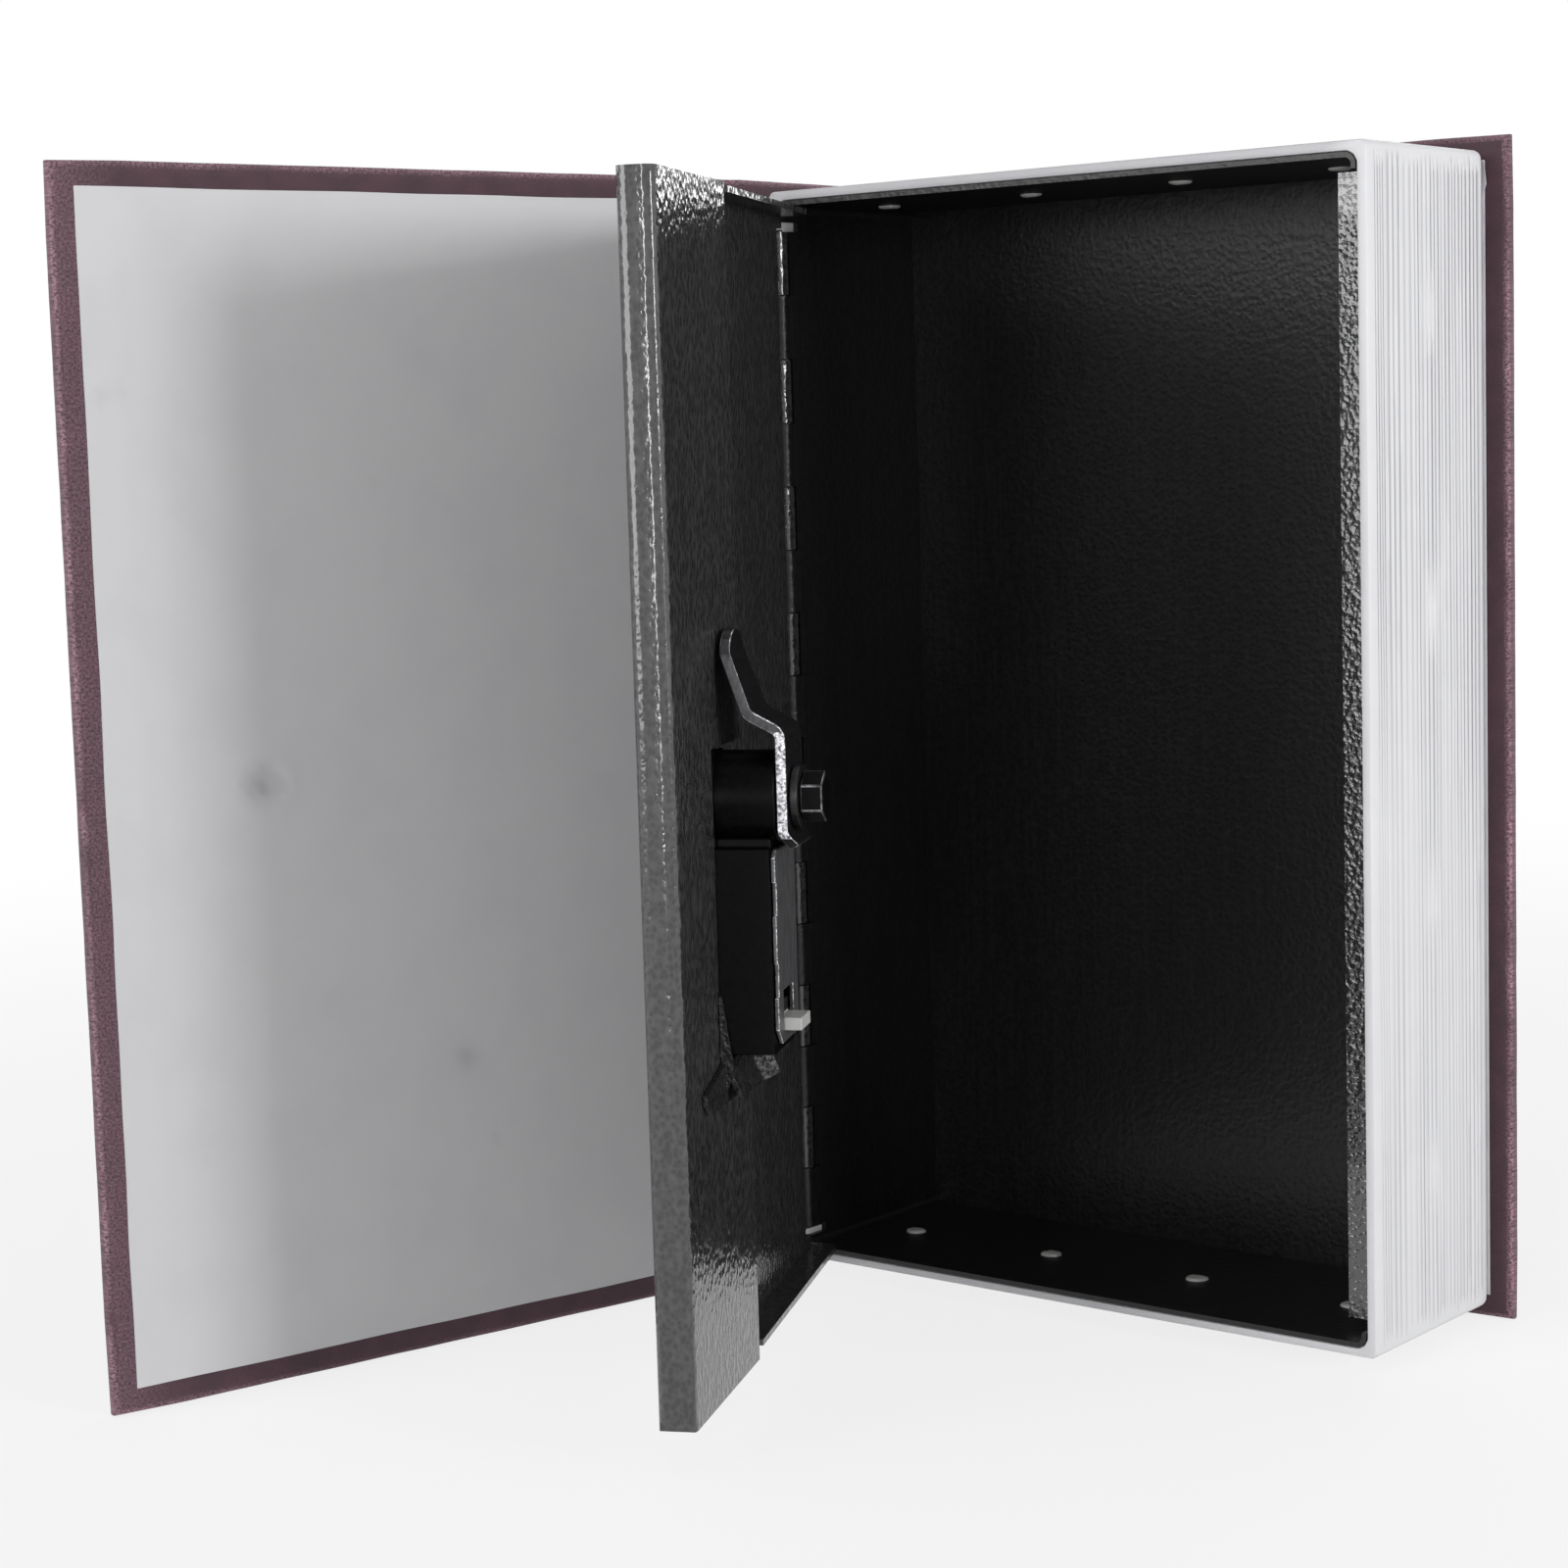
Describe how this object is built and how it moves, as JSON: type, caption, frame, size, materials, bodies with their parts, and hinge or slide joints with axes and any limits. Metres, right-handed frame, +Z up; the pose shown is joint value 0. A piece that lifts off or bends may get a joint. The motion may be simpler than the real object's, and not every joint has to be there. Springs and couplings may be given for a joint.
{
  "type": "book diversion safe",
  "caption": "Book diversion safe: a false book with cloth covers, a ribbed page shell and a steel box inside, closed by a piano-hinged door with a combination cam lock.",
  "frame": {"origin": "at the foot of the back cover, in the middle of the page block's width and of the cover's thickness", "axes": "+Z up along the spine, +Y out of the back cover, +X from the spine to the fore-edge"},
  "size_m": [0.1942, 0.2093, 0.24],
  "materials": {
    "book_cloth": "dark wine book cloth with a fine weave",
    "board": "grey-brown binder's board",
    "endpaper": "white endpaper, slightly cockled",
    "page_plastic": "white moulded plastic with fine ribs",
    "hammertone": "black hammertone powder coat",
    "dark_steel": "blackened steel with bright edges",
    "black_enamel": "black painted zinc casting",
    "plate_steel": "plain dark steel",
    "lock_chrome": "satin nickel plate",
    "wheel_metal": "satin nickel plate",
    "tab_plastic": "white moulded plastic"
  },
  "bodies": {
    "box_and_case": {"case_cloth": "book_cloth", "front_joint_cloth": "book_cloth", "back_board": "board", "spine_board": "board", "back_endpaper": "endpaper", "page_shell": "page_plastic", "steel_box": "hammertone", "hinge_pin": "dark_steel"},
    "front_cover": {"front_board": "board", "front_cover_cloth": "book_cloth", "front_endpaper": "endpaper"},
    "door": {"door_pan": "hammertone", "lock_housing": "black_enamel", "lock_bezel": "lock_chrome", "lock_back_plate": "plate_steel", "retaining_clip": "hammertone", "dial_axle": "plate_steel", "detent_spring": "plate_steel"},
    "cam_group": {"lock_knob": "lock_chrome", "lock_spindle": "plate_steel", "cam": "dark_steel", "cam_washer": "dark_steel", "cam_bolt": "dark_steel"},
    "wheel_1": {"dial_wheel_1": "wheel_metal"},
    "wheel_2": {"dial_wheel_2": "wheel_metal"},
    "wheel_3": {"dial_wheel_3": "wheel_metal"},
    "tab": {"reset_tab": "tab_plastic"}
  },
  "joints": [
    {"name": "cover_hinge", "type": "hinge", "parent": "box_and_case", "child": "front_cover", "pos_m": [-0.0794, -0.0568, 0.12], "axis": [0, 0, -1], "range_deg": [-104, 66], "deforming": ["front_joint_cloth"]},
    {"name": "door_hinge", "type": "hinge", "parent": "box_and_case", "child": "door", "pos_m": [-0.0696, -0.0513, 0.12], "axis": [0, 0, -1], "range_deg": [-63, 40]},
    {"name": "cam_turn", "type": "hinge", "parent": "door", "child": "cam_group", "pos_m": [-0.02375, -0.14129, 0.1185], "axis": [0.891, 0.454, 0], "range_deg": [0, 90]},
    {"name": "wheel_1_turn", "type": "hinge", "parent": "door", "child": "wheel_1", "pos_m": [-0.01822, -0.13848, 0.0995], "axis": [0, 0, 1], "continuous": true},
    {"name": "wheel_2_turn", "type": "hinge", "parent": "door", "child": "wheel_2", "pos_m": [-0.01822, -0.13848, 0.0895], "axis": [0, 0, 1], "continuous": true},
    {"name": "wheel_3_turn", "type": "hinge", "parent": "door", "child": "wheel_3", "pos_m": [-0.01822, -0.13848, 0.0795], "axis": [0, 0, 1], "continuous": true},
    {"name": "reset_slide", "type": "slide", "parent": "door", "child": "tab", "axis": [0, 0, 1], "range_m": [0, 0.005]}
  ],
  "couplings": [
    {"joint": "door_hinge", "follows": "cover_hinge", "ratio": 0.6057}
  ]
}
